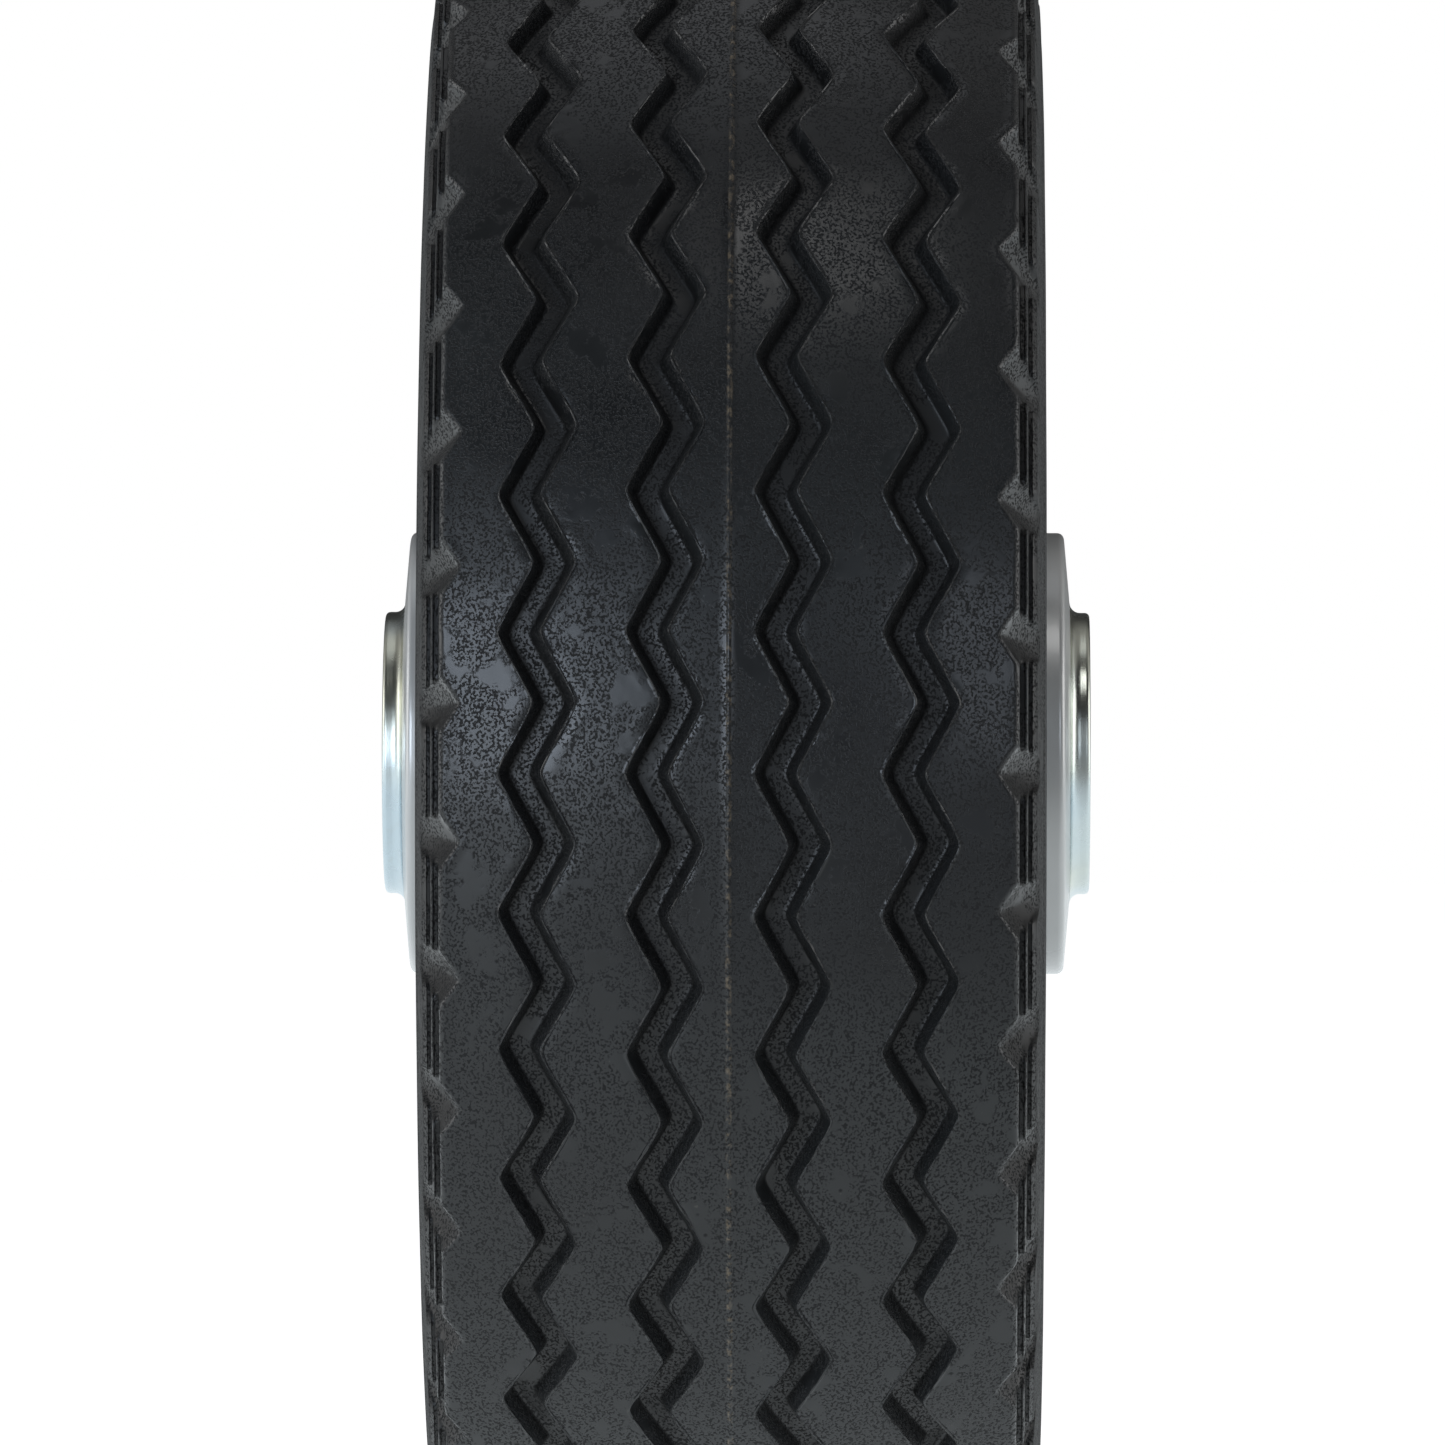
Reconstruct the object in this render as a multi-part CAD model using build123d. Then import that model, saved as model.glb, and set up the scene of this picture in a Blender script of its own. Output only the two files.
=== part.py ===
"""Flat-free utility wheel: solid tyre with zigzag grooves, bolted steel rim and two sealed ball bearings.

Millimetres. The origin is the wheel's centre, the wheel spins about Y, and left is towards -Y.
Profiles are drawn as (radius, y) pairs and turned about Y.
"""

from build123d import *
import math
import os

# Driving dimensions
TYRE_RADIUS = 130.0
TREAD_HALF_WIDTH = 39.0
TYRE_HALF_WIDTH = 43.1
CROWN_RADIUS = 170.0
TEETH = 42
GROOVE_SPACING = 17.25
GROOVE_TOP_WIDTH = 5.8
GROOVE_FLOOR_WIDTH = 3.4
GROOVE_DEPTH = 2.8
ZIGZAG_SWING = 4.6
FIRST_APEX_DEG = -1.24
CUT_ABOVE = 2.0

HUB_HALF_LENGTH = 50.0
HUB_RADIUS = 20.0
HUB_SHOULDER_RADIUS = 16.5
HUB_CORNER = 0.65
BOSS_RADIUS = 31.35
BOSS_FACE_Y = 47.3
BOSS_EDGE_Y = 46.3
BOSS_CORNER = 1.0
WELD_LEG = 1.3
WELD_BOW = 0.285

STEEL = 2.5
BEAD_SEAT_RADIUS = 50.8
FLANGE_RADIUS = 59.5
FLANGE_Y = 29.0
LIP_Y = 34.5
LIP_BEND = 3.0
SMALL_BEND = 0.8

BOLTS = 4
BOLT_CIRCLE_RADIUS = 39.75
FIRST_BOLT_DEG = 45.0
BOLT_HOLE_RADIUS = 4.25
BOLT_RADIUS = 3.9
BOLT_LENGTH = 16.0
HEX_ACROSS_FLATS = 13.0
HEAD_HEIGHT = 5.3
NUT_HEIGHT = 6.5
NUT_BORE_RADIUS = 3.95
WASHER_RADIUS = 7.4
WASHER_BORE_RADIUS = 4.1
WASHER_THICKNESS = 2.0
WASHER_SPLIT = 1.2
WASHER_SPLIT_TILT = 30.0

BEARING_RADIUS = 17.5
BEARING_BORE_RADIUS = 7.9375
BEARING_WIDTH = 11.0
BEARING_RECESS = 0.5
INNER_LAND_RADIUS = 10.8
OUTER_LAND_RADIUS = 14.75
BALLS = 8
BALL_RADIUS = 2.9765
RACE_RADIUS = 3.05
BALL_CIRCLE_RADIUS = 12.575
CAGE_INNER_RADIUS = 11.6
CAGE_OUTER_RADIUS = 13.6
CAGE_HALF_WIDTH = 3.9
POCKET_RADIUS = 3.1
SEAL_THICKNESS = 0.9
SEAL_INSET = 0.3
SEAL_LIP_GAP = 0.1
BEARING_CHAMFER = 0.4

SPACER_BORE_RADIUS = 8.0
SPACER_RADIUS = 10.0

BEARING_OUT_Y = HUB_HALF_LENGTH - BEARING_RECESS
BEARING_IN_Y = BEARING_OUT_Y - BEARING_WIDTH
BEARING_MID_Y = (BEARING_OUT_Y + BEARING_IN_Y) / 2

SIDES = {"left": -1, "right": 1}
BASE = (Align.CENTER, Align.CENTER, Align.MIN)


def ring(points, radii=0.0):
    """A closed (radius, y) outline with rounded corners, turned once about Y."""
    if isinstance(radii, float):
        radii = [radii] * len(points)
    outline = FilletPolyline(points, radius=radii, close=True)
    return revolve(make_face(outline), Axis.Y)


def tube(inner, outer, low, high):
    """A plain ring between two radii and two y values."""
    return ring([(inner, low), (outer, low), (outer, high), (inner, high)])


def on_side(shape, side):
    """A shape drawn for the right side, turned half round about X for the left side."""
    return shape if SIDES[side] > 0 else Rot(180, 0, 0) * shape


def around(shape, count, start=0.0):
    """Copies of a shape spaced evenly about Y."""
    return [Rot(0, start + 360 * i / count, 0) * shape for i in range(count)]


def at_angle(radius, angle, y):
    """A point at a radius and an angle in degrees, measured about Y from +X up towards +Z."""
    turn = math.radians(angle)
    return (radius * math.cos(turn), y, radius * math.sin(turn))


def crown_at(y):
    """Radius of the tread's crown arc at a distance from the mid-plane."""
    return TYRE_RADIUS - CROWN_RADIUS + math.sqrt(CROWN_RADIUS**2 - y**2)


# Tyre

# Shoulder steps on the right side: (radius, y) from the tread's edge down to the sidewall.
SHOULDER = [(122.0, 39.4), (121.8, 40.2), (118.3, 40.5), (117.6, 41.4), (115.2, 41.9)]
SIDEWALL_MID = (99.0, TYRE_HALF_WIDTH)
SIDEWALL_END = (70.0, 38.9)
BEAD_OVER_LIP = (62.0, 35.5)
BEAD_LIP_TOP = (59.5, 34.0)


def tyre_side(sign):
    """The right or left part of the tyre's outline, from the tread's edge to the bead seat."""

    def at(point):
        return (point[0], sign * point[1])

    edge = at((crown_at(TREAD_HALF_WIDTH), TREAD_HALF_WIDTH))
    steps = Polyline([edge] + [at(p) for p in SHOULDER])
    wall = ThreePointArc(at(SHOULDER[-1]), at(SIDEWALL_MID), at(SIDEWALL_END))
    lip_bend = FLANGE_RADIUS - LIP_BEND * (1 - math.sqrt(0.5))
    bead = [
        Polyline([at(p) for p in (SIDEWALL_END, BEAD_OVER_LIP, BEAD_LIP_TOP)]),
        Polyline([at(BEAD_LIP_TOP), at((FLANGE_RADIUS, FLANGE_Y + LIP_BEND))]),
        ThreePointArc(
            at((FLANGE_RADIUS, FLANGE_Y + LIP_BEND)),
            at((lip_bend, FLANGE_Y + LIP_BEND * (1 - math.sqrt(0.5)))),
            at((FLANGE_RADIUS - LIP_BEND, FLANGE_Y)),
        ),
        Polyline([
            at((FLANGE_RADIUS - LIP_BEND, FLANGE_Y)),
            at((BEAD_SEAT_RADIUS + SMALL_BEND, FLANGE_Y)),
            at((BEAD_SEAT_RADIUS, FLANGE_Y - SMALL_BEND)),
        ]),
    ]
    return [steps, wall] + bead


def tyre_blank():
    """The tyre before its grooves are cut."""
    edge = crown_at(TREAD_HALF_WIDTH)
    crown = ThreePointArc((edge, -TREAD_HALF_WIDTH), (TYRE_RADIUS, 0), (edge, TREAD_HALF_WIDTH))
    seat = FLANGE_Y - SMALL_BEND
    floor = Line((BEAD_SEAT_RADIUS, -seat), (BEAD_SEAT_RADIUS, seat))
    outline = Curve() + [crown, floor] + tyre_side(1) + tyre_side(-1)
    return revolve(make_face(outline), Axis.Y)


def groove_cutter(centre):
    """A closed zigzag ring, trapezoidal in section, that cuts one groove."""
    section = [
        (crown_at(centre) + CUT_ABOVE, -cut_half_width(CUT_ABOVE)),
        (crown_at(centre) + CUT_ABOVE, cut_half_width(CUT_ABOVE)),
        (crown_at(centre) - GROOVE_DEPTH, cut_half_width(-GROOVE_DEPTH)),
        (crown_at(centre) - GROOVE_DEPTH, -cut_half_width(-GROOVE_DEPTH)),
    ]
    half_pitch = 180 / TEETH
    loops = []
    for i in range(2 * TEETH):
        swing = centre + (-ZIGZAG_SWING if i % 2 == 0 else ZIGZAG_SWING) / 2
        angle = FIRST_APEX_DEG + half_pitch * i
        loops.append([Vector(*at_angle(r, angle, swing + y)) for r, y in section])
    faces = []
    for here, ahead in zip(loops, loops[1:] + loops[:1]):
        for k in range(len(section)):
            n = (k + 1) % len(section)
            faces.append(Face(Wire.make_polygon([here[k], here[n], ahead[k]])))
            faces.append(Face(Wire.make_polygon([here[n], ahead[n], ahead[k]])))
    return Solid(Shell(faces))


def cut_half_width(above):
    """Half the groove's width at a height above the tread surface."""
    slope = (GROOVE_TOP_WIDTH - GROOVE_FLOOR_WIDTH) / 2 / GROOVE_DEPTH
    return GROOVE_TOP_WIDTH / 2 + slope * above


# Shoulder notch outlines at its top and its foot: radius, tip y, corner y, half width.
NOTCH_TOP = (TYRE_RADIUS + 1, 34.6, 37.9, 4.7)
NOTCH_FOOT = (108.0, 43.8, 44.6, 0.8)
NOTCH_OUT_Y = TYRE_HALF_WIDTH + 3


def notch_cutter(side):
    """A V notch that opens sideways through the shoulder steps, at the angle of +X."""
    wires = []
    for radius, tip, corner, half in (NOTCH_TOP, NOTCH_FOOT):
        out = NOTCH_OUT_Y
        points = [(tip, 0), (corner, half), (out, half), (out, -half), (corner, -half)]
        wires.append(Wire.make_polygon([(radius, SIDES[side] * y, z) for y, z in points]))
    return Solid.make_loft(wires, ruled=True)


def tyre():
    """The moulded tyre with grooves, and notches opposite the zigzag's apexes."""
    centres = [GROOVE_SPACING * k for k in (-1.5, -0.5, 0.5, 1.5)]
    cutters = [groove_cutter(c) for c in centres]
    pitch = 360 / TEETH
    # Rot about Y turns +X towards -Z, so the start angles are negated.
    cutters += around(notch_cutter("right"), TEETH, -FIRST_APEX_DEG)
    cutters += around(notch_cutter("left"), TEETH, -FIRST_APEX_DEG - pitch / 2)
    return tyre_blank() - cutters


# Rim and hub


def bolt_holes():
    """Cutters for the holes through the rim's web."""
    hole = Pos(BOLT_CIRCLE_RADIUS, 0, 0) * Rot(90, 0, 0) * Cylinder(BOLT_HOLE_RADIUS, 6 * STEEL)
    return around(hole, BOLTS, FIRST_BOLT_DEG)


def rim_half(side):
    """A pressed rim half: boss round the hub, web, bead seat, flange and rolled lip."""
    well = BEAD_SEAT_RADIUS - STEEL
    corners = [
        ((HUB_RADIUS, BOSS_FACE_Y), 0),
        ((BOSS_RADIUS, BOSS_EDGE_Y), BOSS_CORNER),
        ((BOSS_RADIUS, STEEL), SMALL_BEND),
        ((well, STEEL), SMALL_BEND),
        ((well, FLANGE_Y + STEEL), SMALL_BEND + STEEL),
        ((FLANGE_RADIUS - STEEL, FLANGE_Y + STEEL), SMALL_BEND),
        ((FLANGE_RADIUS - STEEL, LIP_Y), SMALL_BEND),
        ((FLANGE_RADIUS, LIP_Y), SMALL_BEND),
        ((FLANGE_RADIUS, FLANGE_Y), LIP_BEND),
        ((BEAD_SEAT_RADIUS, FLANGE_Y), SMALL_BEND),
        ((BEAD_SEAT_RADIUS, 0), SMALL_BEND + STEEL),
        ((BOSS_RADIUS - STEEL, 0), SMALL_BEND + STEEL),
        ((BOSS_RADIUS - STEEL, BOSS_EDGE_Y - STEEL), SMALL_BEND),
        ((HUB_RADIUS, BOSS_FACE_Y - STEEL), 0),
    ]
    shell = ring([p for p, _ in corners], [r for _, r in corners])
    return on_side(shell - bolt_holes(), side)


def hub_tube():
    """The hub tube, bored out at each end for a bearing."""
    seat = BEARING_IN_Y
    corners = [
        ((HUB_RADIUS, -HUB_HALF_LENGTH), HUB_CORNER),
        ((HUB_RADIUS, HUB_HALF_LENGTH), HUB_CORNER),
        ((BEARING_RADIUS, HUB_HALF_LENGTH), BEARING_RECESS / 2),
        ((BEARING_RADIUS, seat), 0),
        ((HUB_SHOULDER_RADIUS, seat), 0),
        ((HUB_SHOULDER_RADIUS, -seat), 0),
        ((BEARING_RADIUS, -seat), 0),
        ((BEARING_RADIUS, -HUB_HALF_LENGTH), BEARING_RECESS / 2),
    ]
    return ring([p for p, _ in corners], [r for _, r in corners])


def weld_fillet(side):
    """The concave weld between the hub tube and the boss face."""
    boss_slope = (BOSS_FACE_Y - BOSS_EDGE_Y) / (BOSS_RADIUS - HUB_RADIUS)
    foot = (HUB_RADIUS + WELD_LEG, BOSS_FACE_Y - boss_slope * WELD_LEG)
    top = (HUB_RADIUS, BOSS_FACE_Y + WELD_LEG)
    bow = (HUB_RADIUS + WELD_LEG * WELD_BOW, BOSS_FACE_Y + WELD_LEG * WELD_BOW)
    outline = Curve() + [Polyline([top, (HUB_RADIUS, BOSS_FACE_Y), foot]), ThreePointArc(foot, bow, top)]
    return on_side(revolve(make_face(outline), Axis.Y), side)


def along_bolt(shape, y):
    """A shape drawn on Z, laid along Y on the bolt circle with its base at y, four times."""
    placed = Pos(BOLT_CIRCLE_RADIUS, y, 0) * Rot(-90, 0, 0) * shape
    return Compound(children=around(placed, BOLTS, FIRST_BOLT_DEG))


def hexagon(height):
    """A chamfered hexagonal prism from z = 0."""
    prism = extrude(RegularPolygon(HEX_ACROSS_FLATS / 2, 6, major_radius=False), height)
    corner = HEX_ACROSS_FLATS / math.sqrt(3)
    cone = Cone(corner - SMALL_BEND + height, corner - SMALL_BEND, height, align=BASE)
    return prism & cone


def rim_bolts():
    """Hexagon-head bolts, heads on the left."""
    shank = Cylinder(BOLT_RADIUS, BOLT_LENGTH, align=BASE)
    bolt = hexagon(HEAD_HEIGHT) + Pos(0, 0, -BOLT_LENGTH) * shank
    return along_bolt(Rot(180, 0, 0) * bolt, -STEEL)


def rim_spring_washers():
    """Split spring washers under the nuts."""
    washer = Cylinder(WASHER_RADIUS, WASHER_THICKNESS, align=BASE)
    washer -= Cylinder(WASHER_BORE_RADIUS, WASHER_THICKNESS, align=BASE)
    split = Rot(WASHER_SPLIT_TILT, 0, 0) * Box(WASHER_RADIUS, WASHER_SPLIT, 4 * WASHER_THICKNESS)
    washer -= Pos(WASHER_RADIUS, 0, 0) * split
    return along_bolt(washer, STEEL)


def rim_nuts():
    """Hexagon nuts on the right."""
    nut = hexagon(NUT_HEIGHT) - Cylinder(NUT_BORE_RADIUS, NUT_HEIGHT, align=BASE)
    return along_bolt(nut, STEEL + WASHER_THICKNESS)


# Bearings and spacer


def race(low_radius, high_radius):
    """A bearing ring with its ball groove."""
    corners = [(r, BEARING_IN_Y) for r in (low_radius, high_radius)]
    corners += [(r, BEARING_OUT_Y) for r in (high_radius, low_radius)]
    blank = ring(corners, BEARING_CHAMFER)
    groove = Pos(0, BEARING_MID_Y, 0) * Rot(90, 0, 0) * Torus(BALL_CIRCLE_RADIUS, RACE_RADIUS)
    return blank - groove


def bearing_balls(side):
    """The balls of one bearing, as separate solids."""
    ball = Pos(BALL_CIRCLE_RADIUS, SIDES[side] * BEARING_MID_Y, 0) * Sphere(BALL_RADIUS)
    return Compound(children=around(ball, BALLS))


def bearing_cage():
    """The ring that spaces the balls, with round pockets."""
    blank = tube(
        CAGE_INNER_RADIUS,
        CAGE_OUTER_RADIUS,
        BEARING_MID_Y - CAGE_HALF_WIDTH,
        BEARING_MID_Y + CAGE_HALF_WIDTH,
    )
    drill = Rot(0, 90, 0) * Cylinder(POCKET_RADIUS, 2 * CAGE_OUTER_RADIUS, align=BASE)
    return blank - around(Pos(0, BEARING_MID_Y, 0) * drill, BALLS)


def bearing_seal(face_y, inward):
    """A rubber-faced shield just inside one bearing face."""
    low, high = sorted((face_y + inward * SEAL_INSET, face_y + inward * (SEAL_INSET + SEAL_THICKNESS)))
    return tube(INNER_LAND_RADIUS + SEAL_LIP_GAP, OUTER_LAND_RADIUS, low, high)


def bearing(side):
    """One sealed ball bearing as separate pieces."""
    pieces = {
        "outer_ring": race(OUTER_LAND_RADIUS, BEARING_RADIUS),
        "inner_ring": race(BEARING_BORE_RADIUS, INNER_LAND_RADIUS),
        "cage": bearing_cage(),
        "seal_outer": bearing_seal(BEARING_OUT_Y, -1),
        "seal_inner": bearing_seal(BEARING_IN_Y, 1),
    }
    placed = {name: on_side(piece, side) for name, piece in pieces.items()}
    placed["balls"] = bearing_balls(side)
    return {f"bearing_{name}_{side}": piece for name, piece in placed.items()}


def all_nodes():
    """Every node of the wheel by name."""
    nodes = {"tyre": tyre(), "hub_tube": hub_tube()}
    for side in SIDES:
        nodes[f"rim_half_{side}"] = rim_half(side)
        nodes[f"weld_fillet_{side}"] = weld_fillet(side)
        nodes |= bearing(side)
    nodes["rim_bolts"] = rim_bolts()
    nodes["rim_spring_washers"] = rim_spring_washers()
    nodes["rim_nuts"] = rim_nuts()
    nodes["spacer_tube"] = tube(SPACER_BORE_RADIUS, SPACER_RADIUS, -BEARING_IN_Y, BEARING_IN_Y)
    return nodes


os.makedirs("parts", exist_ok=True)
for node, shape in all_nodes().items():
    export_step(shape, f"parts/{node}.step")
    print(node, round(shape.volume))
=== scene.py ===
"""Flat-free utility wheel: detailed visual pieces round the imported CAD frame.

Metres in Blender. Profiles are given in millimetres as (radius, y) and turned about the axle, which is Y.
Angles are measured about Y from +X up towards +Z.
"""

import math

import bmesh
import bpy
import numpy as np
from mathutils import Matrix, Vector


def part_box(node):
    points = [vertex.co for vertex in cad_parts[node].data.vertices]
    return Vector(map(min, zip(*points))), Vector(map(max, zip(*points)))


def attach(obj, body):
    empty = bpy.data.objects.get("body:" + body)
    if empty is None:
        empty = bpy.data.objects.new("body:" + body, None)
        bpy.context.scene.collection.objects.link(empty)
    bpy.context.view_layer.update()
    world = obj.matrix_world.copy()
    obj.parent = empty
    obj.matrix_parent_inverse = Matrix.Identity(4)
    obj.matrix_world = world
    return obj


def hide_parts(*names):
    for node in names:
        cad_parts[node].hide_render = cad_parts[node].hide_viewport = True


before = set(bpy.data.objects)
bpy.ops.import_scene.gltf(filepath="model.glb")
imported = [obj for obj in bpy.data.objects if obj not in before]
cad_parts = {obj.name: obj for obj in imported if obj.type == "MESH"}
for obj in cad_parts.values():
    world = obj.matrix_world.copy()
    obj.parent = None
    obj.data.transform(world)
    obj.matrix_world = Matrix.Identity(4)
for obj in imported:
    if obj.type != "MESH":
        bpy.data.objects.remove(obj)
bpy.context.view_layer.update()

MM = 0.001
SIDES = {"left": -1, "right": 1}


# ---------------------------------------------------------------- driving sizes


def half_width(node):
    """Largest distance of a node from the mid-plane, in millimetres."""
    low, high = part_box(node)
    return max(abs(low[1]), abs(high[1])) / MM


def radius_of(node):
    """Outer radius of a ring-shaped node, in millimetres."""
    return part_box(node)[1][0] / MM


# Read from the frame, in millimetres.
TYRE_RADIUS = radius_of("tyre")
HUB_RADIUS = radius_of("hub_tube")
HUB_END = half_width("hub_tube")
FLANGE_RADIUS = radius_of("rim_half_right")
BOSS_FACE = half_width("rim_half_right")
BEARING_RADIUS = radius_of("bearing_outer_ring_right")
BEARING_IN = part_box("bearing_outer_ring_right")[0][1] / MM
SPACER_RADIUS = radius_of("spacer_tube")

# The tread, which the frame's boxes don't tell: millimetres, and degrees where the name says so. Each
# groove is a zigzag with a tooth to either side in turn; the first apex lies just below the +X axis.
TEETH = 42
APEXES = 2 * TEETH
HALF_PITCH_DEG = 180 / TEETH
FIRST_APEX_DEG = -1.24
CROWN_RADIUS = 170.0
GROOVE_SPACING = 17.25
INNER_GROOVE = 0.5 * GROOVE_SPACING
OUTER_GROOVE = 1.5 * GROOVE_SPACING
SWING = 2.3
APEX_ROUNDING = 0.7
TREAD_EDGE = 39.15

# The rim and hub.
STEEL = 2.5
BOSS_RADIUS = 31.35
BOSS_DROP = 1.0  # the boss's edge lies this much further in than its face at the collar
BEAD_SEAT = 50.8
FLANGE_Y = 29.0
RIM_LIP_Y = 34.5
HUB_SHOULDER = 16.5
WELD_LEG = 1.35

BOLT_CIRCLE = 39.75
BOLTS = 4
FIRST_BOLT_DEG = 45.0


# ---------------------------------------------------------------- mesh helpers


def piece(name, points, faces, material, slot, body):
    """A mesh object that rides on a body. points are millimetres."""
    mesh = bpy.data.meshes.new(name)
    mesh.from_pydata((np.asarray(points) * MM).tolist(), [], faces)
    mesh.validate()
    mesh.materials.append(material)
    obj = bpy.data.objects.new(name, mesh)
    bpy.context.scene.collection.objects.link(obj)
    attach(obj, body)
    fix_normals(obj)
    return obj


def sharpen(obj, angle):
    """Smooth shading that breaks at edges sharper than the angle."""
    obj.data.shade_smooth()
    obj.data.set_sharp_from_angle(angle=math.radians(angle))


def rounded(corners, steps):
    """A closed polygon with its corners rounded by arcs. A corner is (radius, y, size of its rounding)."""
    out = []
    points = [Vector(corner[:2]) for corner in corners]
    for i, here in enumerate(points):
        size = corners[i][2]
        if size <= 0:
            out.append(tuple(here))
            continue
        back = (points[i - 1] - here).normalized()
        ahead = (points[(i + 1) % len(points)] - here).normalized()
        half = back.angle(ahead) / 2
        centre = here + (back + ahead).normalized() * (size / math.sin(half))
        start = here + back * (size / math.tan(half)) - centre
        end = here + ahead * (size / math.tan(half)) - centre
        turn = start.angle_signed(end)
        for k in range(steps + 1):
            out.append(tuple(centre + Matrix.Rotation(-turn * k / steps, 2) @ start))
    return out


def spun(outline, count, shape=None):
    """A closed (radius, y) outline turned about Y. shape(radius, y, angle) may change a radius."""
    n = len(outline)
    points, faces = [], []
    for j in range(count):
        angle = 2 * math.pi * j / count
        for r, y in outline:
            r = shape(r, y, angle) if shape else r
            points.append((r * math.cos(angle), y, r * math.sin(angle)))
    for j in range(count):
        a, b = j * n, (j + 1) % count * n
        faces += [(a + k, b + k, b + (k + 1) % n, a + (k + 1) % n) for k in range(n)]
    return points, faces


def lathe(name, outline, material, slot, body, count, side=1, shape=None):
    """A piece spun from a closed (radius, y) outline, mirrored for the left side."""
    outline = [(r, y * side) for r, y in outline][::side]
    return piece(name, *spun(outline, count, shape), material, slot, body)


def fix_normals(obj):
    """Turns every face outwards."""
    work = bmesh.new()
    work.from_mesh(obj.data)
    bmesh.ops.recalc_face_normals(work, faces=work.faces)
    work.to_mesh(obj.data)
    work.free()


# ---------------------------------------------------------------- materials

RANGE_SOCKETS = ("From Min", "From Max", "To Min", "To Max")


class Nodes:
    """Short calls for building one procedural material."""

    def __init__(self, name):
        self.material = bpy.data.materials.new(name)
        self.material.use_nodes = True
        self.tree = self.material.node_tree
        self.shader = self.tree.nodes["Principled BSDF"]
        self.coords = self.add("ShaderNodeTexCoord").outputs["Object"]

    def add(self, kind, **settings):
        node = self.tree.nodes.new(kind)
        for key, value in settings.items():
            setattr(node, key, value)
        return node

    def link(self, source, target):
        self.tree.links.new(source, target)

    def noise(self, scale, detail=3, roughness=0.5, coords=None):
        """Noise of a given number of features per metre."""
        node = self.add("ShaderNodeTexNoise")
        node.inputs["Scale"].default_value = scale
        node.inputs["Detail"].default_value = detail
        node.inputs["Roughness"].default_value = roughness
        self.link(coords or self.coords, node.inputs["Vector"])
        return node.outputs["Fac"]

    def cells(self, scale):
        """Distance to the nearest of a given number of cells per metre."""
        node = self.add("ShaderNodeTexVoronoi")
        node.inputs["Scale"].default_value = scale
        self.link(self.coords, node.inputs["Vector"])
        return node.outputs["Distance"]

    def axis(self, name):
        """One object coordinate in metres: X, Y or Z."""
        node = self.add("ShaderNodeSeparateXYZ")
        self.link(self.coords, node.inputs["Vector"])
        return node.outputs[name]

    def stretched(self, x, y, z):
        """Object coordinates scaled along each axis."""
        node = self.add("ShaderNodeMapping")
        node.inputs["Scale"].default_value = (x, y, z)
        self.link(self.coords, node.inputs["Vector"])
        return node.outputs["Vector"]

    def remap(self, value, low, high, to_low=0.0, to_high=1.0):
        """A clamped linear map of a value."""
        node = self.add("ShaderNodeMapRange")
        for socket, number in zip(RANGE_SOCKETS, (low, high, to_low, to_high)):
            node.inputs[socket].default_value = number
        self.link(value, node.inputs["Value"])
        return node.outputs["Result"]

    def math(self, operation, a, b=0.0):
        """A math node of one or two values, each a socket or a number."""
        node = self.add("ShaderNodeMath", operation=operation)
        for socket, value in zip(node.inputs, (a, b)):
            if isinstance(value, (int, float)):
                socket.default_value = value
            else:
                self.link(value, socket)
        return node.outputs["Value"]

    def mix(self, factor, a, b):
        """A colour mixed from two colours, each a socket or a tuple."""
        node = self.add("ShaderNodeMix", data_type="RGBA")
        self.link(factor, node.inputs["Factor"])
        for socket, value in ((node.inputs[6], a), (node.inputs[7], b)):
            if isinstance(value, tuple):
                socket.default_value = (*value, 1)
            else:
                self.link(value, socket)
        return node.outputs[2]

    def blend(self, factor, a, b):
        """A value mixed from two value sockets."""
        node = self.add("ShaderNodeMix", data_type="FLOAT")
        for socket, value in zip((node.inputs[0], node.inputs[2], node.inputs[3]), (factor, a, b)):
            self.link(value, socket)
        return node.outputs[0]

    def bump(self, height, strength, distance, normal=None):
        """A bump normal of a given height in metres."""
        node = self.add("ShaderNodeBump")
        node.inputs["Strength"].default_value = strength
        node.inputs["Distance"].default_value = distance
        self.link(height, node.inputs["Height"])
        if normal:
            self.link(normal, node.inputs["Normal"])
        return node.outputs["Normal"]

    def set(self, **sockets):
        """Shader inputs by name, with underscores for spaces: a number, a tuple or a socket."""
        for key, value in sockets.items():
            socket = self.shader.inputs[key.replace("_", " ")]
            if isinstance(value, (int, float, tuple)):
                socket.default_value = (*value, 1) if isinstance(value, tuple) else value
            else:
                self.link(value, socket)


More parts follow.
